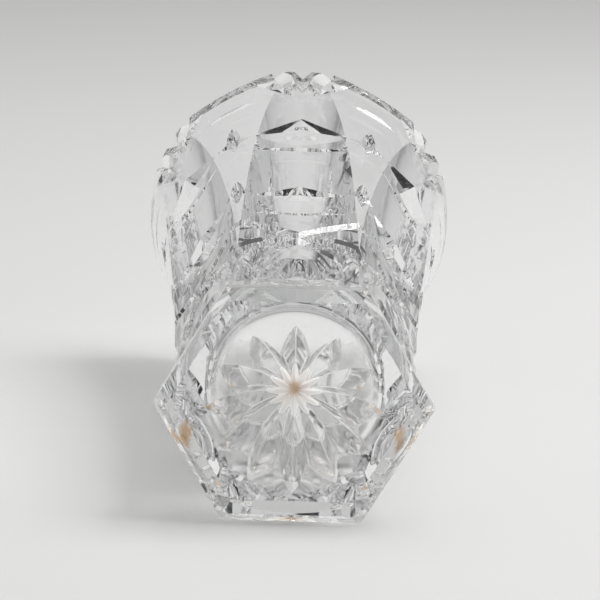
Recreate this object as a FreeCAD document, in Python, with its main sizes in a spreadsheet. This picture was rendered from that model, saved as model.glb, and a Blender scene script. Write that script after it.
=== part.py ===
"""Cut crystal vase: one piece of lead glass with a hexagonal foot, a flaring body of six panels,
arches, niches and mitre cuts up its sides, a fan-cut rim and a star under the foot.

Units are millimetres. +Z runs up the vase and the origin is the centre of the face it rests on.
One of the six flat panels faces -Y, and the corners stand half a step round from the panels.
Each cut is drawn once, as the wheel that makes it, on the side that faces -Y. Panel wheels,
corner wheels and star wheels stand in bodies of their own. The corner wheels' body is turned
half a step, and each body's wheels are repeated around Z before they cut the blank.
"""
import FreeCAD, Part
import math
import os
import Sketcher

NODE = "crystal_vase"

# ------------------------------------------------------------------------------------- sizes
SIZES = {
    # overall
    "vase_height": 210.0,
    "panel_count": 6,
    # how the cutters are drawn: what stands proud before grinding, how far a cutter runs past
    # a face that it opens, and how much of a wheel's edge is drawn over its depth of cut
    "grinding_stock": 1.0,
    "overrun": 2.0,
    "edge_share": 1.6,
    "edge_margin": 0.4,
    # foot: a six-sided slab with a bevelled lower edge and a sloping shoulder
    "foot_across_corners": 80.0,
    "foot_bevel": 3.0,
    "foot_side_top": 6.5,
    "shoulder_top": 14.0,
    # body: the corners follow a turned blank, the flats follow the panel curve
    "waist_level": 20.0,
    "waist_corner_radius": 35.6,
    "waist_flat_radius": 30.6,
    "rim_radius": 51.6,
    "panel_flare": 21.0,
    "rim_wall": 6.5,
    # hollow
    "floor_level": 30.0,
    "bore_radius": 26.0,
    "bore_corner": 4.0,
    # the star hollowed under the foot, and the dome that clears its middle
    "star_radius": 25.0,
    "star_depth": 18.0,
    "petal_count": 12,
    "petal_wheel": 22.0,
    "petal_half_width": 4.4,
    "petal_height": 11.0,
    "petal_overrun": 15.0,
    "dome_radius": 14.5,
    "dome_depth": 9.0,
    # niches, two rows up each panel: an upright dish under a roof of two slopes
    "high_niche_apex": 172.0,
    "high_niche_height": 26.0,
    "high_niche_wheel": 110.0,
    "high_niche_depth": 3.6,
    "high_niche_slope": 43.0,
    "mid_niche_apex": 114.0,
    "mid_niche_height": 26.0,
    "mid_niche_wheel": 60.0,
    "mid_niche_depth": 2.6,
    "mid_niche_slope": 28.0,
    # rounded cuts: a tall oval low on each panel and an olive on each corner
    "low_oval_level": 32.0,
    "low_oval_wheel": 66.0,
    "low_oval_edge": 20.0,
    "low_oval_depth": 1.8,
    "olive_level": 49.0,
    "olive_wheel": 24.0,
    "olive_edge": 7.0,
    "olive_depth": 1.5,
    # mitre cuts: a wheel with a V edge; the spread is half the width over the depth
    "mitre_spread": 1.2,
    "high_band_level": 146.0,
    "mid_band_level": 90.0,
    "band_wheel": 90.0,
    "band_depth": 1.3,
    # arched grooves
    "groove_depth": 1.6,
    "arch_radius": 63.5,
    "arch_aside": 38.9,
    "arch_centre_level": 20.0,
    "arch_start": 20.0,
    "arch_finish": 76.0,
    "window_half_width": 13.6,
    "window_spring_level": 36.0,
    "window_rise": 28.0,
    "window_overrun": 8.0,
    "window_leg_wheel": 60.0,
    "window_leg_level": 26.5,
    # four-pointed gems and short swags on the corners
    "high_gem_level": 158.0,
    "mid_gem_level": 109.0,
    "gem_wheel": 30.0,
    "gem_depth": 1.9,
    "gem_cross_wheel": 14.0,
    "swag_level": 188.0,
    "swag_wheel": 55.0,
    "swag_depth": 1.5,
    # fans and scallops at the rim
    "fan_blades": 5,
    "fan_root_level": 187.0,
    "fan_wheel": 34.0,
    "fan_depth": 2.1,
    "fan_reach": 13.0,
    "fan_step": 22.0,
    "scallop_radius": 34.0,
    "scallop_depth": 3.5,
}

# How far round a wheel is drawn, over the part of it that reaches a level surface: more where
# the glass rises towards the wheel's ends, or it leaves a ledge there.
ON_FLAT, ON_ROUND = 1, 1.5

doc = FreeCAD.newDocument(NODE)
sheet = doc.addObject("Spreadsheet::Sheet", "sizes")
for row, (word, number) in enumerate(SIZES.items(), start=1):
    sheet.set(f"A{row}", word)
    sheet.set(f"B{row}", str(number))
    sheet.setAlias(f"B{row}", word)
doc.recompute()


def size(word):
    """The expression that reads one size from the sheet."""
    return f"sizes.{word}"


def arc_radius(rise, swell):
    """The radius of an arc that leaves the vertical and gains swell over rise."""
    return f"((({rise})^2 + ({swell})^2) / (2 * ({swell})))"


BODY_RISE = f"({size('vase_height')} - {size('waist_level')})"
CORNER_SWELL = f"({size('rim_radius')} - {size('waist_corner_radius')})"
CORNER_ARC = arc_radius(BODY_RISE, CORNER_SWELL)
FLAT_ARC = arc_radius(BODY_RISE, size("panel_flare"))
HALF_PANEL = f"(180 / {size('panel_count')})"
FOOT_FLAT = f"({size('foot_across_corners')} / 2 * cos({HALF_PANEL}))"
MOUTH = f"({size('rim_radius')} - {size('rim_wall')})"
DOME_ARC = arc_radius(size("dome_radius"), size("dome_depth"))
DOME_CENTRE = f"({size('dome_depth')} - {DOME_ARC})"


def corner_face(level):
    """How far the turned blank is from the axis at a level above the waist."""
    drop = f"sqrt({CORNER_ARC}^2 - ({level} - {size('waist_level')})^2)"
    return f"({size('waist_corner_radius')} + {CORNER_ARC} - {drop})"


def flat_face(level):
    """How far a panel is from the axis at a level above the waist."""
    drop = f"sqrt({FLAT_ARC}^2 - ({level} - {size('waist_level')})^2)"
    return f"({size('waist_flat_radius')} + {FLAT_ARC} - {drop})"


# ------------------------------------------------------------------------- bodies and sketches
def new_body(name):
    """A body at the document's origin."""
    body = doc.addObject("PartDesign::Body", name)
    body.Label = name
    body.Placement = FreeCAD.Placement()
    body.AllowCompound = True
    return body


vase = new_body(NODE)
panel_wheels = new_body("panel_wheels")
corner_wheels = new_body("corner_wheels")
star_wheels = new_body("star_wheels")
corner_wheels.Placement = FreeCAD.Placement(FreeCAD.Vector(), FreeCAD.Vector(0, 0, 1), 1)
corner_wheels.setExpression("Placement.Rotation.Angle", HALF_PANEL)

AXIS_H, AXIS_V, ROOT = -1, -2, (-1, 1)


def origin_of(body, role):
    """One of a body's own origin planes or axes."""
    return next(feature for feature in body.Origin.OriginFeatures if feature.Role == role)


def new_sketch(body, name, plane, offset=None, turn=None):
    """A sketch on an origin plane. offset maps x, y, z to expressions; turn is (axis, expression)."""
    sketch = body.newObject("Sketcher::SketchObject", name)
    sketch.AttachmentSupport = [(origin_of(body, plane), "")]
    sketch.MapMode = "FlatFace"
    if turn:
        axis, angle = turn
        rotation = FreeCAD.Rotation(FreeCAD.Vector(*axis), float(sketch.evalExpression(angle)))
        sketch.AttachmentOffset = FreeCAD.Placement(FreeCAD.Vector(), rotation)
        sketch.setExpression("AttachmentOffset.Rotation.Angle", angle)
    for way, expression in (offset or {}).items():
        sketch.setExpression(f"AttachmentOffset.Base.{way}", expression)
    return sketch


def bind(sketch, kind, first, second, expression):
    """A distance between two points, tied to the sheet."""
    value = float(sketch.evalExpression(expression))
    if value < 0:
        first, second = second, first
        value, expression = -value, f"-({expression})"
    index = sketch.addConstraint(Sketcher.Constraint(kind, *first, *second, value))
    sketch.setExpression(f"Constraints[{index}]", expression)


def place(sketch, point, across, up):
    """Fixes a point at (across, up) from the sketch's origin."""
    for kind, expression, axis in (("DistanceX", across, AXIS_V), ("DistanceY", up, AXIS_H)):
        if expression == "0":
            sketch.addConstraint(Sketcher.Constraint("PointOnObject", *point, axis))
        else:
            bind(sketch, kind, ROOT, point, expression)


def bind_radius(sketch, edge, expression):
    """The radius of an arc or circle, tied to the sheet."""
    value = float(sketch.evalExpression(expression))
    index = sketch.addConstraint(Sketcher.Constraint("Radius", edge, value))
    sketch.setExpression(f"Constraints[{index}]", expression)


def closed_outline(sketch, corners, arcs=None):
    """Joins the corners in turn. arcs maps an edge's number to its arc: its centre (across, up)
    and the rule that fixes it: "level" for the centre's level, "axis" for a centre on the
    upright axis, or else the radius."""
    arcs = arcs or {}

    def spot_of(terms):
        return FreeCAD.Vector(*(float(sketch.evalExpression(term)) for term in terms), 0)

    spots = [spot_of(corner) for corner in corners]
    starts, ends = [], []
    for number, spot in enumerate(spots):
        following = spots[(number + 1) % len(spots)]
        if number in arcs:
            middle = spot_of(arcs[number][:2])
            begin = math.atan2(spot.y - middle.y, spot.x - middle.x)
            finish = math.atan2(following.y - middle.y, following.x - middle.x)
            forward = (finish - begin) % (2 * math.pi) < math.pi
            angles = (begin, finish) if forward else (finish, begin)
            circle = Part.Circle(middle, FreeCAD.Vector(0, 0, 1), middle.distanceToPoint(spot))
            edge = sketch.addGeometry(Part.ArcOfCircle(circle, *angles), False)
            starts.append((edge, 1 if forward else 2))
            ends.append((edge, 2 if forward else 1))
        else:
            edge = sketch.addGeometry(Part.LineSegment(spot, following), False)
            starts.append((edge, 1))
            ends.append((edge, 2))
    for number, corner in enumerate(corners):
        sketch.addConstraint(Sketcher.Constraint("Coincident", *ends[number - 1], *starts[number]))
        place(sketch, starts[number], *corner)
    for number, (across, up, rule) in arcs.items():
        edge = starts[number][0]
        centre = (edge, 3)
        if rule == "axis":
            sketch.addConstraint(Sketcher.Constraint("PointOnObject", *centre, AXIS_V))
        elif rule == "level":
            bind(sketch, "DistanceY", ROOT, centre, up)
        else:
            bind_radius(sketch, edge, rule)


def turned(body, kind, name, sketch, axis, angle=None):
    """A Revolution or Groove of a sketch about one of its own axes: all the way round, or
    through an angle that is even about the sketch."""
    feature = body.newObject(f"PartDesign::{kind}", name)
    feature.Profile = sketch
    feature.ReferenceAxis = (sketch, [axis])
    feature.Refine = False
    if angle:
        feature.Midplane = True
        feature.setExpression("Angle", angle)
    else:
        feature.Angle = 360


def repeat_around(body, name, count):
    """Repeats everything in a body evenly around Z."""
    doc.recompute()
    pattern = body.newObject("PartDesign::PolarPattern", name)
    pattern.TransformMode = "Whole shape"
    pattern.Axis = (origin_of(body, "Z_Axis"), [""])
    pattern.Angle = 360
    pattern.setExpression("Occurrences", count)
    pattern.Refine = False
    body.Tip = pattern


def take_away(name, cutters):
    """Cuts every wheel of the other bodies out of the vase at once."""
    doc.recompute()
    cut = vase.newObject("PartDesign::Boolean", name)
    cut.Type = "Cut"
    cut.addObjects(cutters)
    cut.Refine = False
    vase.Tip = cut


# ------------------------------------------------------------------------------------- blank
def turn_blank():
    """The outside as it is turned, before the panels are ground: foot, shoulder, waist and flare."""
    sketch = new_sketch(vase, "blank_profile", "XZ_Plane")
    foot = f"({size('foot_across_corners')} / 2 + {size('grinding_stock')})"
    corners = [
        ("0", "0"),
        (foot, "0"),
        (foot, size("foot_side_top")),
        (size("waist_corner_radius"), size("shoulder_top")),
        (size("waist_corner_radius"), size("waist_level")),
        (size("rim_radius"), size("vase_height")),
        ("0", size("vase_height")),
    ]
    centre = (f"{size('waist_corner_radius')} + {CORNER_ARC}", size("waist_level"), "level")
    closed_outline(sketch, corners, {4: centre})
    turned(vase, "Revolution", "blank", sketch, "V_Axis")


def grind_panels():
    """The flat sides, from the foot's bevel to where they run out into the round of the body."""
    sketch = new_sketch(vase, "panel_profile", "YZ_Plane")
    below = f"-{size('overrun')}"
    flat_at_top = f"({size('waist_flat_radius')} + {size('panel_flare')})"
    clear = f"({flat_at_top} + {size('foot_across_corners')} / 2)"
    corners = [
        (f"{FOOT_FLAT} - {size('foot_bevel')} - {size('overrun')}", below),
        (FOOT_FLAT, size("foot_bevel")),
        (FOOT_FLAT, size("foot_side_top")),
        (size("waist_flat_radius"), size("shoulder_top")),
        (size("waist_flat_radius"), size("waist_level")),
        (flat_at_top, size("vase_height")),
        (clear, size("vase_height")),
        (clear, below),
    ]
    centre = (f"{size('waist_flat_radius')} + {FLAT_ARC}", size("waist_level"), "level")
    closed_outline(sketch, corners, {4: centre})
    panel = vase.newObject("PartDesign::Pocket", "panel")
    panel.Profile = sketch
    panel.SideType = "Symmetric"
    panel.setExpression("Length", f"2 * {clear}")
    panel.Refine = False
    doc.recompute()
    panels = vase.newObject("PartDesign::PolarPattern", "panels")
    panels.Originals = [panel]
    panels.Axis = (origin_of(vase, "Z_Axis"), [""])
    panels.Angle = 360
    panels.setExpression("Occurrences", size("panel_count"))
    panels.Refine = False
    vase.Tip = panels


def bore_hollow():
    """The inside: a flat floor with a rounded corner and a wall that flares with the outside."""
    sketch = new_sketch(vase, "bore_profile", "XZ_Plane")
    floor_edge = f"({size('bore_radius')} - {size('bore_corner')})"
    wall_start = f"({size('floor_level')} + {size('bore_corner')})"
    radius = arc_radius(f"{size('vase_height')} - {wall_start}", f"{MOUTH} - {size('bore_radius')}")
    above = f"({size('vase_height')} + {size('overrun')})"
    corners = [
        ("0", size("floor_level")),
        (floor_edge, size("floor_level")),
        (size("bore_radius"), wall_start),
        (MOUTH, size("vase_height")),
        (MOUTH, above),
        ("0", above),
    ]
    arcs = {
        1: (floor_edge, wall_start, "level"),
        2: (f"{size('bore_radius')} + {radius}", wall_start, "level"),
    }
    closed_outline(sketch, corners, arcs)
    turned(vase, "Groove", "bore", sketch, "V_Axis")


def hollow_foot():
    """The dome under the foot that clears the middle of the star, below the petals' ridges."""
    sketch = new_sketch(vase, "dome_profile", "XZ_Plane")
    below = f"-{size('overrun')}"
    edge = f"sqrt({DOME_ARC}^2 - ({size('overrun')} + {DOME_CENTRE})^2)"
    corners = [("0", size("dome_depth")), ("0", below), (edge, below)]
    closed_outline(sketch, corners, {2: ("0", DOME_CENTRE, "axis")})
    turned(vase, "Groove", "dome", sketch, "V_Axis")


# ------------------------------------------------------------------------------------- wheels
LAID_OVER = ((0, 0, 1), "-90")


def drawn_angle(wheel, depth, share):
    """The angle of a wheel that reaches a level surface, times share."""
    return f"2 * {share} * acos(1 - {depth} / {wheel})"


def drawn_edge(depth):
    """How much of a wheel is drawn, from its edge inwards."""
    return f"({size('edge_share')} * {depth} + {size('edge_margin')})"


def mitre_wheel(body, name, plane, offset, turn, wheel, depth, spread, share=ON_ROUND):
    """A wheel with a V edge, turned about the sketch's level axis."""
    sketch = new_sketch(body, name + "_profile", plane, offset, turn)
    tall = drawn_edge(depth)
    half = f"({spread} * {tall})"
    root = f"{wheel} - {tall}"
    closed_outline(sketch, [("0", wheel), (half, root), (f"-{half}", root)])
    turned(body, "Revolution", name, sketch, "H_Axis", drawn_angle(wheel, depth, share))


def round_wheel(body, name, level, face, wheel, depth, edge, share=ON_ROUND):
    """A wheel with a rounded edge that stands upright and cuts an oval."""
    offset = {"y": f"{depth} - {face(level)} - {wheel}", "z": level}
    sketch = new_sketch(body, name + "_profile", "XY_Plane", offset)
    tall = drawn_edge(depth)
    half = f"sqrt({edge}^2 - ({edge} - {tall})^2)"
    root = f"{wheel} - {tall}"
    closed_outline(sketch, [(f"-{half}", root), (half, root)], {1: ("0", f"{wheel} - {edge}", edge)})
    turned(body, "Revolution", name, sketch, "H_Axis", drawn_angle(wheel, depth, share))


def level_mitre(body, name, level, face, wheel, depth):
    """A wheel with a V edge that lies level and cuts a groove across a panel or a corner."""
    offset = {"x": f"{depth} - {face(level)} - {wheel}", "y": level}
    mitre_wheel(body, name, "YZ_Plane", offset, LAID_OVER, wheel, depth, size("mitre_spread"))


def arched_groove(name, centre, level, face, radius, start, finish, mirrored):
    """A V groove along part of a circle that lies flat on a panel. The angles, in degrees, are
    measured from level, up the right side, and mirrored lays it on the left."""
    depth, spread = size("groove_depth"), size("mitre_spread")
    middle = f"(({start} + {finish}) / 2)"
    side = "-1" if mirrored else "1"
    turn = ((0, 1, 0), f"{middle} - 180" if mirrored else f"-{middle}")
    offset = {"x": f"-{side} * {centre}", "y": f"{depth} - {face}", "z": level}
    sketch = new_sketch(panel_wheels, name + "_profile", "XY_Plane", offset, turn)
    tall = drawn_edge(depth)
    half = f"({spread} * {tall})"
    corners = [(radius, "0"), (f"{radius} - {half}", f"-{tall}"), (f"{radius} + {half}", f"-{tall}")]
    closed_outline(sketch, corners)
    turned(panel_wheels, "Revolution", name, sketch, "V_Axis", f"{finish} - {start}")


# --------------------------------------------------------------------------------- panel cuts
def cut_niches():
    """Two niches up each panel. A wheel with a flat edge lies level and leaves an upright dish;
    its top is trimmed to two slopes, which roof the dish over."""
    for row in ("high", "mid"):
        name = f"{row}_niche"
        apex, height = size(f"{name}_apex"), size(f"{name}_height")
        wheel, depth = size(f"{name}_wheel"), size(f"{name}_depth")
        offset = {"x": f"{depth} - {flat_face(apex)} - {wheel}", "y": apex}
        sketch = new_sketch(panel_wheels, name + "_profile", "YZ_Plane", offset, LAID_OVER)
        root = f"{wheel} - {drawn_edge(depth)}"
        closed_outline(sketch, [("0", wheel), (height, wheel), (height, root), ("0", root)])
        turned(panel_wheels, "Revolution", name, sketch, "H_Axis", drawn_angle(wheel, depth, ON_ROUND))
        roof = new_sketch(panel_wheels, name + "_roof", "XZ_Plane")
        above = f"({apex} + {size('overrun')})"
        eave = f"({apex} - {size('rim_radius')} * tan({size(f'{name}_slope')}))"
        side = size("rim_radius")
        corners = [("0", apex), (side, eave), (side, above), (f"-{side}", above), (f"-{side}", eave)]
        closed_outline(roof, corners)
        trim = panel_wheels.newObject("PartDesign::Pocket", name + "_trim")
        trim.Profile = roof
        trim.SideType = "Symmetric"
        trim.setExpression("Length", f"4 * {side}")
        trim.Refine = False


def cut_ovals():
    """A tall, narrow hollow oval low on each panel, stopped short at the top by a small ledge."""
    level, wheel = size("low_oval_level"), size("low_oval_wheel")
    depth, edge = size("low_oval_depth"), size("low_oval_edge")
    round_wheel(panel_wheels, "low_oval", level, flat_face, wheel, depth, edge, ON_FLAT)


def cut_bands():
    """A level mitre cut under each of the niches."""
    wheel, depth = size("band_wheel"), size("band_depth")
    for row in ("high", "mid"):
        level_mitre(panel_wheels, f"{row}_band", size(f"{row}_band_level"), flat_face, wheel, depth)


def cut_arches():
    """Wide arches that cross in the middle of each panel and meet the next panel's at a corner,
    and inside them a pointed window with upright sides."""
    level, radius = size("arch_centre_level"), size("arch_radius")
    crossing = f"sqrt({radius}^2 - {size('arch_aside')}^2)"
    face = flat_face(f"({level} + {crossing})")
    spring, rise, half = size("window_spring_level"), size("window_rise"), size("window_half_width")
    aside = f"(({rise}^2 - {half}^2) / (2 * {half}))"
    window_face = flat_face(f"({spring} + {rise} / 2)")
    window_radius = f"({half} + {aside})"
    window_start = f"(-{size('window_overrun')})"
    window_finish = f"(atan({rise} / {aside}) / 1 deg + {size('window_overrun')})"
    wheel, depth, spread = size("window_leg_wheel"), size("groove_depth"), size("mitre_spread")
    leg_level = size("window_leg_level")
    for side, mirrored in (("right", False), ("left", True)):
        arch_ends = (size("arch_start"), size("arch_finish"))
        arched_groove(f"arch_{side}", size("arch_aside"), level, face, radius, *arch_ends, mirrored)
        window_ends = (window_start, window_finish)
        arched_groove(f"window_{side}", aside, spring, window_face, window_radius, *window_ends, mirrored)
        offset = {
            "x": f"-{half}" if mirrored else half,
            "y": f"{depth} - {flat_face(leg_level)} - {wheel}",
            "z": leg_level,
        }
        name = f"window_leg_{side}"
        mitre_wheel(panel_wheels, name, "XY_Plane", offset, None, wheel, depth, spread, ON_FLAT)


def cut_fans():
    """Mitre cuts that spread from one root up to the rim in the middle of each panel."""
    wheel, depth, blades = size("fan_wheel"), size("fan_depth"), SIZES["fan_blades"]
    for number in range(blades):
        lean = f"(({number} - ({size('fan_blades')} - 1) / 2) * {size('fan_step')})"
        level = f"({size('fan_root_level')} + {size('fan_reach')} * cos({lean}))"
        offset = {
            "x": f"{size('fan_reach')} * sin({lean})",
            "y": f"{depth} - {flat_face(level)} - {wheel}",
            "z": level,
        }
        name = f"fan_{number + 1}"
        turn = ((0, 1, 0), lean)
        mitre_wheel(panel_wheels, name, "XY_Plane", offset, turn, wheel, depth, size("mitre_spread"))


# -------------------------------------------------------------------------------- corner cuts
def cut_gems():
    """A four-pointed star on each corner beside the two upper rows: an upright and a level cut."""
    wheel, depth = size("gem_wheel"), size("gem_depth")
    for row in ("high", "mid"):
        level = size(f"{row}_gem_level")
        offset = {"y": f"{depth} - {corner_face(level)} - {wheel}", "z": level}
        name = f"{row}_gem_upright"
        mitre_wheel(corner_wheels, name, "XY_Plane", offset, None, wheel, depth, size("mitre_spread"))
        cross = size("gem_cross_wheel")
        level_mitre(corner_wheels, f"{row}_gem_across", level, corner_face, cross, depth)


def cut_olives():
    """A short upright olive on each corner, over the foot."""
    wheel, depth, edge = size("olive_wheel"), size("olive_depth"), size("olive_edge")
    round_wheel(corner_wheels, "olive", size("olive_level"), corner_face, wheel, depth, edge)


def cut_swags():
    """A level mitre cut on each corner, from one fan's root towards the next."""
    wheel, depth = size("swag_wheel"), size("swag_depth")
    level_mitre(corner_wheels, "swag", size("swag_level"), corner_face, wheel, depth)


def cut_scallops():
    """A shallow dip in the rim over each corner."""
    radius, depth, wall = size("scallop_radius"), size("scallop_depth"), size("rim_wall")
    start = {"z": f"{MOUTH} - 2 * {wall}"}
    sketch = new_sketch(corner_wheels, "scallop_profile", "XZ_Plane", start)
    top = f"({size('vase_height')} + {size('overrun')})"
    half = f"sqrt({radius}^2 - ({radius} - {depth} - {size('overrun')})^2)"
    centre = ("0", f"{size('vase_height')} - {depth} + {radius}", radius)
    closed_outline(sketch, [(half, top), (f"-{half}", top)], {1: centre})
    scallop = corner_wheels.newObject("PartDesign::Pad", "scallop")
    scallop.Profile = sketch
    scallop.setExpression("Length", f"4 * {wall}")
    scallop.Refine = False


# --------------------------------------------------------------------------------------- star
def cut_petals():
    """One petal of the star, along -Y: a long cut with a pointed-arch section. Its wheel's edge
    runs from the petal's tip, on the resting face, to the star's middle on the axis."""
    wheel, radius, depth = size("petal_wheel"), size("star_radius"), size("star_depth")
    half, tall = size("petal_half_width"), size("petal_height")
    span = f"sqrt({radius}^2 + {depth}^2)"
    back = f"sqrt({wheel}^2 - {span}^2 / 4)"
    aside = f"({radius} / 2 - {back} * {depth} / {span})"
    below = f"({back} * {radius} / {span} - {depth} / 2)"
    reach = f"acos({below} / {wheel})"
    turn = ((1, 0, 0), f"{reach} / 2")
    offset = {"y": f"-{below}", "z": aside}
    sketch = new_sketch(star_wheels, "petal_profile", "XZ_Plane", offset, turn)
    root = f"({wheel} - {tall})"
    flank = f"(({half}^2 + {tall}^2) / (2 * {half}))"
    corners = [("0", wheel), (half, root), (f"-{half}", root)]
    arcs = {0: (f"{half} - {flank}", root, flank), 2: (f"{flank} - {half}", root, flank)}
    closed_outline(sketch, corners, arcs)
    sweep = f"{reach} + 2 * {size('petal_overrun')} * 1 deg"
    turned(star_wheels, "Revolution", "petal", sketch, "H_Axis", sweep)


# ------------------------------------------------------------------------------------- build
turn_blank()
grind_panels()
bore_hollow()
hollow_foot()

cut_niches()
cut_ovals()
cut_bands()
cut_arches()
cut_fans()
cut_gems()
cut_olives()
cut_swags()
cut_scallops()
repeat_around(panel_wheels, "panel_wheels_all_round", size("panel_count"))
repeat_around(corner_wheels, "corner_wheels_all_round", size("panel_count"))

cut_petals()
repeat_around(star_wheels, "star_wheels_all_round", size("petal_count"))

take_away("side_cuts", [panel_wheels, corner_wheels])
take_away("star_cuts", [star_wheels])
doc.recompute()

for item in doc.Objects:
    if "Invalid" in item.State or "Error" in item.State:
        raise RuntimeError(f"{item.Label} did not build: {item.getStatusString()}")
glass = vase.Shape
if glass.isNull() or not glass.isValid() or len(glass.Solids) != 1:
    raise RuntimeError(f"{vase.Label} is not one sound solid")

os.makedirs("parts", exist_ok=True)
glass.exportStep(f"parts/{vase.Label}.step")
print(f"{vase.Label}: {len(glass.Faces)} faces, {glass.Volume / 1000:.1f} cm3")
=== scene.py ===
"""Looks of the cut crystal vase: clear lead crystal, a frosted star under the foot with fine pale
lines along its petals, a few spots of brown film, and a pale studio.

The vase stands along +Z in the shared frame. The main view looks at its foot, as if it lay on its
+Y side on a table, so the table is an upright plane that the foot and the rim lean on."""
import bpy
import math
from mathutils import Matrix, Vector


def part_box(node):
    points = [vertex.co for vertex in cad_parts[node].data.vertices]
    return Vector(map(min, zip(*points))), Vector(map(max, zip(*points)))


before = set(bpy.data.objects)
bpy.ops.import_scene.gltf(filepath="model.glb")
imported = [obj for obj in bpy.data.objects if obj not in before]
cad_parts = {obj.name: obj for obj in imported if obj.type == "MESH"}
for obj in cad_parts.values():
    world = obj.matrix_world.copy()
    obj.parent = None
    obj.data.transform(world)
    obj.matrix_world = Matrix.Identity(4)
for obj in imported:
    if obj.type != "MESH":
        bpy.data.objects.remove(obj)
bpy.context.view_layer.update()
NODE = "crystal_vase"
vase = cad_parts[NODE]
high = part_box(NODE)[1]
HEIGHT = high.z
RIM_RADIUS = high.y

# ------------------------------------------------------------------------------------- camera
CAMERA_DISTANCE = 0.900
CAMERA_LENS = 191.2
SENSOR_WIDTH = 36.0
CAMERA_REACH = (0.01, 20.0)
VIEW_LEAN = math.radians(16.44)
VIEW_YAW = math.radians(-0.06)
VIEW_ROLL = math.radians(1.53)
# the foot's middle as the camera has it: to the right, down and ahead
FOOT_IN_VIEW = Vector((-0.0017, 0.0310, CAMERA_DISTANCE))


def view_axes():
    """Rows: the view's right, down and forward directions in the vase's frame."""
    lean = Matrix.Rotation(VIEW_LEAN, 3, "X")
    yaw = Matrix.Rotation(VIEW_YAW, 3, "Y")
    roll = Matrix.Rotation(VIEW_ROLL, 3, "Z")
    return roll @ yaw @ lean


def add_camera():
    axes = view_axes()
    place = -(axes.transposed() @ FOOT_IN_VIEW)
    right, down, forward = axes
    turn = Matrix((right, -down, -forward)).transposed()
    data = bpy.data.cameras.new("camera")
    data.lens = CAMERA_LENS
    data.sensor_width = SENSOR_WIDTH
    data.clip_start, data.clip_end = CAMERA_REACH
    camera = bpy.data.objects.new("camera", data)
    camera.matrix_world = Matrix.Translation(place) @ turn.to_4x4()
    bpy.context.collection.objects.link(camera)
    bpy.context.scene.camera = camera


# -------------------------------------------------------------------------------------- nodes
class Nodes:
    """Short names for building a node tree."""

    def __init__(self, tree):
        self.tree = tree
        tree.nodes.clear()

    def add(self, kind, **settings):
        node = self.tree.nodes.new(kind)
        for name, value in settings.items():
            setattr(node, name, value)
        return node

    def join(self, source, target):
        self.tree.links.new(source, target)

    def math(self, operation, *terms):
        node = self.add("ShaderNodeMath", operation=operation)
        for number, term in enumerate(terms):
            if isinstance(term, (int, float)):
                node.inputs[number].default_value = term
            else:
                self.join(term, node.inputs[number])
        return node.outputs[0]

    def fade(self, value, full, none):
        """1 where value is at or past full, 0 at none, smooth between."""
        ramp = self.add("ShaderNodeMapRange", interpolation_type="SMOOTHSTEP")
        self.join(value, ramp.inputs["Value"])
        ramp.inputs["From Min"].default_value = none
        ramp.inputs["From Max"].default_value = full
        return ramp.outputs[0]

    def toward(self, direction, aim):
        """The cosine of the angle between a direction and an aim."""
        product = self.add("ShaderNodeVectorMath", operation="DOT_PRODUCT")
        self.join(direction, product.inputs[0])
        product.inputs[1].default_value = aim
        return product.outputs["Value"]

    def shader(self, kind, colour, **numbers):
        node = self.add(kind)
        for name, value in (("Color", colour), *numbers.items()):
            node.inputs[name].default_value = value
        return node.outputs[0]

    def mix(self, share, first, second):
        """first where share is 0, second where it is 1."""
        blend = self.add("ShaderNodeMixShader")
        for number, source in enumerate((share, first, second)):
            self.join(source, blend.inputs[number])
        return blend.outputs[0]

    def both(self, first, second):
        total = self.add("ShaderNodeAddShader")
        self.join(first, total.inputs[0])
        self.join(second, total.inputs[1])
        return total.outputs[0]


# ------------------------------------------------------------------------------------ crystal
MM = 0.001
GLASS_COLOUR = (0.99, 0.995, 0.995, 1)
GLASS_IOR = 1.545
# what a shadow ray keeps, so that the vase throws a soft grey shadow
SHADOW_COLOUR = (0.56, 0.56, 0.56, 1)
# what frosted glass lets through and what it scatters back
FROST_COLOUR = (1.0, 0.99, 0.97, 1)
CHALK_COLOUR = (0.5, 0.495, 0.485, 1)
FILM_COLOUR = (0.60, 0.31, 0.06, 1)

# sizes of the finish under the foot are in millimetres; it ends above the top of the hollow
FOOT_HOLLOW_TOP = 21.0
FOOT_HOLLOW_FADE = 1.0
# the frosted middle of the star: its radius at the points, and half of how deep it is cut in
# between them
FROST_RADIUS = 9.2
FROST_POINTS = 12
POINT_DEPTH = 1.8
FROST_FADE = (1.8, -0.3)
FROST_MILK = 0.72
FROST_ROUGHNESS = 0.35
# the whole star is a little less polished than the glass round it
STAR_RADIUS = 25.0
STAR_FADE = 1.0
STAR_ROUGHNESS = 0.12
STAR_MILK = 0.10
# the pale lines: how far to a side they are full and how far they reach, and the radii at which
# the valleys' and the ridges' lines have ended
LINE_WIDTH = (0.10, 0.40)
LINE_MILK = 0.45
LINE_FADE = 3.0
VALLEY_REACH = STAR_RADIUS - 1.0
RIDGE_REACH = 15.0
# where old water has left a brown film: centre on the foot in millimetres, half sizes along and
# across, the turn of the long way from +X in degrees, and how much of the brown shows
FILMS = (
    ((0.0, -0.6), 2.4, 3.0, 0.0, 0.72),     # the star's middle
    ((0.0, -0.8), 5.0, 4.8, 0.0, 0.24),     # the halo round it
    ((-30.7, 9.8), 2.8, 1.5, 60.0, 0.85),   # the foot's left side
    ((30.4, 9.6), 2.8, 1.0, -60.0, 0.75),   # its right side
    ((37.6, 1.0), 1.2, 0.6, -60.0, 0.35),   # its right corner
)
FILM_FADE = (-0.6, 1.7)
FILM_RAGGED = 1.4
GRAIN_SCALE = 420.0
GRAIN_DETAIL = 4.0


def length_squared(nodes, x, y):
    return nodes.math("ADD", nodes.math("MULTIPLY", x, x), nodes.math("MULTIPLY", y, y))


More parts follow.
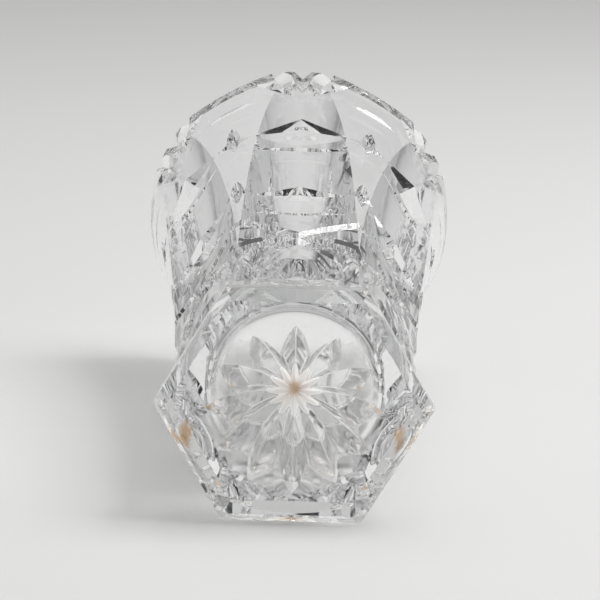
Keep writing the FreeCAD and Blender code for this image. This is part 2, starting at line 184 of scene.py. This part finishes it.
def star_lines(nodes, wave, radius):
    """Pale milky lines down the valley of each petal and along the ridge between two petals."""
    lines = None
    for side, reach in ((-1.0, VALLEY_REACH), (1.0, RIDGE_REACH)):
        # wave is cos(points * turn), so near the line this is the square of the turn off it
        turn_squared = nodes.math("DIVIDE", nodes.math("MULTIPLY_ADD", wave, side, 1.0),
                                  FROST_POINTS ** 2 / 2.0)
        off = nodes.math("MULTIPLY", nodes.math("SQRT", turn_squared), radius)
        line = nodes.math("MULTIPLY", nodes.fade(off, *LINE_WIDTH),
                          nodes.fade(radius, reach - LINE_FADE, reach))
        lines = line if lines is None else nodes.math("MAXIMUM", lines, line)
    return lines


def brown_film(nodes, x, y, grain):
    film = None
    for (film_x, film_y), along, across, angle, strength in FILMS:
        cosine, sine = math.cos(math.radians(angle)), math.sin(math.radians(angle))
        from_x = nodes.math("SUBTRACT", x, film_x)
        from_y = nodes.math("SUBTRACT", y, film_y)
        lengthways = nodes.math("ADD", nodes.math("MULTIPLY", from_x, cosine / along),
                                nodes.math("MULTIPLY", from_y, sine / along))
        sideways = nodes.math("SUBTRACT", nodes.math("MULTIPLY", from_y, cosine / across),
                              nodes.math("MULTIPLY", from_x, sine / across))
        reach = nodes.math("SUBTRACT", length_squared(nodes, lengthways, sideways), FILM_RAGGED / 2)
        ragged = nodes.math("MULTIPLY_ADD", grain, FILM_RAGGED, reach)
        spot = nodes.math("MULTIPLY", nodes.fade(ragged, *FILM_FADE), strength)
        film = spot if film is None else nodes.math("MAXIMUM", film, spot)
    return film


def crystal():
    """Clear lead crystal, frosted in the middle of the star, with a brown film in a few spots."""
    material = bpy.data.materials.new("crystal")
    material.use_nodes = True
    nodes = Nodes(material.node_tree)
    out = nodes.add("ShaderNodeOutputMaterial")
    coords = nodes.add("ShaderNodeTexCoord")
    split = nodes.add("ShaderNodeSeparateXYZ")
    nodes.join(coords.outputs["Object"], split.inputs[0])
    x, y, z = (nodes.math("DIVIDE", split.outputs[axis], MM) for axis in "XYZ")
    radius = nodes.math("SQRT", length_squared(nodes, x, y))
    grain = nodes.add("ShaderNodeTexNoise")
    nodes.join(coords.outputs["Object"], grain.inputs["Vector"])
    grain.inputs["Scale"].default_value = GRAIN_SCALE
    grain.inputs["Detail"].default_value = GRAIN_DETAIL

    # the frosted middle ends in short points, one along each petal
    turn = nodes.math("ARCTAN2", y, x)
    wave = nodes.math("COSINE", nodes.math("MULTIPLY", turn, float(FROST_POINTS)))
    edge = nodes.math("MULTIPLY_ADD", wave, POINT_DEPTH, FROST_RADIUS - POINT_DEPTH)
    inside = nodes.math("SUBTRACT", edge, radius)
    under = nodes.fade(z, FOOT_HOLLOW_TOP, FOOT_HOLLOW_TOP + FOOT_HOLLOW_FADE)
    frost = nodes.math("MULTIPLY", nodes.fade(inside, *FROST_FADE), under)
    star = nodes.math("MULTIPLY", nodes.fade(radius, STAR_RADIUS - STAR_FADE, STAR_RADIUS), under)
    lines = nodes.math("MULTIPLY", star_lines(nodes, wave, radius), star)
    film = nodes.math("MULTIPLY", brown_film(nodes, x, y, grain.outputs["Fac"]), under)
    milk = nodes.math("MAXIMUM", nodes.math("MULTIPLY", star, STAR_MILK),
                      nodes.math("MULTIPLY", lines, LINE_MILK))
    milk = nodes.math("MAXIMUM", milk, nodes.math("MULTIPLY", frost, FROST_MILK))

    glass = nodes.add("ShaderNodeBsdfPrincipled")
    glass.inputs["Base Color"].default_value = GLASS_COLOUR
    glass.inputs["Transmission Weight"].default_value = 1.0
    glass.inputs["IOR"].default_value = GLASS_IOR
    rough = nodes.math("MAXIMUM", nodes.math("MULTIPLY", frost, FROST_ROUGHNESS),
                       nodes.math("MULTIPLY", star, STAR_ROUGHNESS))
    nodes.join(rough, glass.inputs["Roughness"])
    milky = nodes.both(nodes.shader("ShaderNodeBsdfTranslucent", FROST_COLOUR),
                       nodes.shader("ShaderNodeBsdfDiffuse", CHALK_COLOUR))
    frosted = nodes.mix(milk, glass.outputs[0], milky)
    stained = nodes.mix(film, frosted, nodes.shader("ShaderNodeBsdfTranslucent", FILM_COLOUR))
    path = nodes.add("ShaderNodeLightPath")
    shadow = nodes.shader("ShaderNodeBsdfTransparent", SHADOW_COLOUR)
    surface = nodes.mix(path.outputs["Is Shadow Ray"], stained, shadow)
    nodes.join(surface, out.inputs["Surface"])
    return material


# -------------------------------------------------------------------------------------- stage
STAGE_HALF = 6.0
# half the vase's width between the flat sides of its foot, one of which lies on the table
FOOT_FLAT = 0.0346
TABLE_GAP = 0.0004
TABLE_COLOUR = (0.74, 0.738, 0.734, 1)
FLOOR_GAP = 0.0003
FLOOR_COLOUR = (0.45, 0.448, 0.445, 1)
FLOOR_GLOW = 0.6


def seen_from_front(name, colour, glow=0.0):
    """A matt surface that shows only its front, so views from behind it stay open. One that glows
    shows to the camera and in glass and gloss alone, so it lights nothing."""
    material = bpy.data.materials.new(name)
    material.use_nodes = True
    nodes = Nodes(material.node_tree)
    out = nodes.add("ShaderNodeOutputMaterial")
    surface = nodes.shader("ShaderNodeBsdfDiffuse", colour)
    clear = nodes.add("ShaderNodeBsdfTransparent").outputs[0]
    hidden = nodes.add("ShaderNodeNewGeometry").outputs["Backfacing"]
    if glow:
        surface = nodes.both(surface, nodes.shader("ShaderNodeEmission", colour, Strength=glow))
        path = nodes.add("ShaderNodeLightPath")
        seen = nodes.math("MAXIMUM", path.outputs["Is Camera Ray"], path.outputs["Is Glossy Ray"])
        seen = nodes.math("MAXIMUM", seen, path.outputs["Is Transmission Ray"])
        hidden = nodes.math("MAXIMUM", hidden, nodes.math("SUBTRACT", 1.0, seen))
    nodes.join(nodes.mix(hidden, surface, clear), out.inputs["Surface"])
    return material


def add_plane(name, middle, across, up, material):
    """A large square whose front faces across x up."""
    corners = [
        middle + across * (a * STAGE_HALF) + up * (b * STAGE_HALF)
        for a, b in ((-1, -1), (1, -1), (1, 1), (-1, 1))
    ]
    mesh = bpy.data.meshes.new(name)
    mesh.from_pydata([tuple(c) for c in corners], [], [(0, 1, 2, 3)])
    mesh.materials.append(material)
    plane = bpy.data.objects.new(name, mesh)
    bpy.context.collection.objects.link(plane)


def add_table():
    """The table that the foot's flat side and the rim rest on. Its front faces the vase, -Y."""
    along = Vector((0, RIM_RADIUS - FOOT_FLAT, HEIGHT)).normalized()
    middle = Vector((0, FOOT_FLAT + TABLE_GAP, 0))
    material = seen_from_front("table_top", TABLE_COLOUR)
    add_plane("table", middle, Vector((1, 0, 0)), along, material)


def add_floor():
    """The floor under the vase when it is seen upright."""
    middle = Vector((0, 0, -FLOOR_GAP))
    material = seen_from_front("floor", FLOOR_COLOUR, FLOOR_GLOW)
    add_plane("floor", middle, Vector((1, 0, 0)), Vector((0, 1, 0)), material)


# -------------------------------------------------------------------------------------- light
# the room's strength overhead and at the sides, its unlit parts, and what the far side adds
CEILING_LIGHT = 0.74
WALL_LIGHT = 0.47
DARK_SIDE = 0.03
FAR_LIGHT = 0.14
# where each part is full and where it has ended, as the direction's Y or Z
CEILING_FADE = (-0.9, -0.2)
LIT_SIDE_FADE = (-0.55, -0.92)
FAR_FADE = (0.95, 0.8)
# unlit beams that arch over the vase: the turn of each one's middle from +X towards overhead, and
# the cosine at which its ends begin. Both beams' near and far edges fade between the same Z.
BEAMS = ((4.0, 0.08), (147.0, 0.69))
BEAM_SOFTNESS = 0.06
BEAM_NEAR = (0.54, 0.46)
BEAM_FAR = (0.82, 0.88)
# a grey shelf overhead, on the main camera's side of the vase: the way to it and the cosines
# between which it ends
SHELF = Vector((0.0, -0.84, -0.54)).normalized()
SHELF_EDGE = (0.90, 0.96)
SHELF_LIGHT = 0.28
# square lamps: the place, the side in metres and the power
LAMPS = {
    "softbox_top": (Vector((0.4, -1.3, 0.55)), 1.3, 5.8),
    "softbox_right": (Vector((0.75, -1.3, 0.1)), 0.75, 13.0),
}


def add_lamp(name, place, side, power):
    """A soft lamp aimed at the vase. Facets would show it as a clipped white patch through the
    glass, so it is hidden there."""
    data = bpy.data.lights.new(name, "AREA")
    data.shape = "SQUARE"
    data.size = side
    data.energy = power
    lamp = bpy.data.objects.new(name, data)
    lamp.visible_transmission = False
    aim = Vector((0, 0, HEIGHT / 2)) - place
    turn = aim.to_track_quat("-Z", "Y").to_matrix().to_4x4()
    lamp.matrix_world = Matrix.Translation(place) @ turn
    bpy.context.collection.objects.link(lamp)


def between(nodes, share, low_value, high_value):
    """low_value where share is 0, high_value where it is 1."""
    return nodes.math("MULTIPLY_ADD", share, high_value - low_value, low_value)


def light_world():
    """A pale room, brightest overhead, which is -Y, and dark behind the main camera, at -Z. The
    unlit beams and the shelf give the facets something dark to show."""
    world = bpy.data.worlds.new("studio")
    world.use_nodes = True
    bpy.context.scene.world = world
    nodes = Nodes(world.node_tree)
    out = nodes.add("ShaderNodeOutputWorld")
    room = nodes.add("ShaderNodeBackground")
    direction = nodes.add("ShaderNodeTexCoord").outputs["Generated"]
    split = nodes.add("ShaderNodeSeparateXYZ")
    nodes.join(direction, split.inputs[0])
    up, far = split.outputs["Y"], split.outputs["Z"]

    lit = between(nodes, nodes.fade(up, *CEILING_FADE), WALL_LIGHT, CEILING_LIGHT)
    lit = nodes.math("MULTIPLY_ADD", nodes.fade(far, *FAR_FADE), FAR_LIGHT, lit)
    beam = 0.0
    for turn, end in BEAMS:
        middle = (math.cos(math.radians(turn)), -math.sin(math.radians(turn)), 0.0)
        arch = nodes.fade(nodes.toward(direction, middle), end + BEAM_SOFTNESS, end)
        beam = nodes.math("MAXIMUM", beam, arch)
    for edge in (BEAM_NEAR, BEAM_FAR):
        beam = nodes.math("MULTIPLY", beam, nodes.fade(far, *edge))
    lit = nodes.math("MULTIPLY", lit, between(nodes, beam, 1.0, DARK_SIDE))
    off_shelf = nodes.fade(nodes.toward(direction, SHELF), *SHELF_EDGE)
    lit = nodes.math("MULTIPLY", lit, between(nodes, off_shelf, SHELF_LIGHT, 1.0))
    lit_side = between(nodes, nodes.fade(far, *LIT_SIDE_FADE), DARK_SIDE, 1.0)
    nodes.join(nodes.math("MULTIPLY", lit, lit_side), room.inputs["Strength"])
    nodes.join(room.outputs[0], out.inputs["Surface"])


# -------------------------------------------------------------------------------------- scene
# enough bounces for light to cross the many facets
GLASS_BOUNCES = 24
GLOSS_BOUNCES = 12

add_camera()
light_world()
add_table()
add_floor()
for name, (place, side, power) in LAMPS.items():
    add_lamp(name, place, side, power)

vase.data.materials.clear()
vase.data.materials.append(crystal())

scene = bpy.context.scene
scene.cycles.max_bounces = GLASS_BOUNCES
scene.cycles.transmission_bounces = GLASS_BOUNCES
scene.cycles.transparent_max_bounces = GLASS_BOUNCES
scene.cycles.glossy_bounces = GLOSS_BOUNCES
scene.view_settings.view_transform = "Standard"
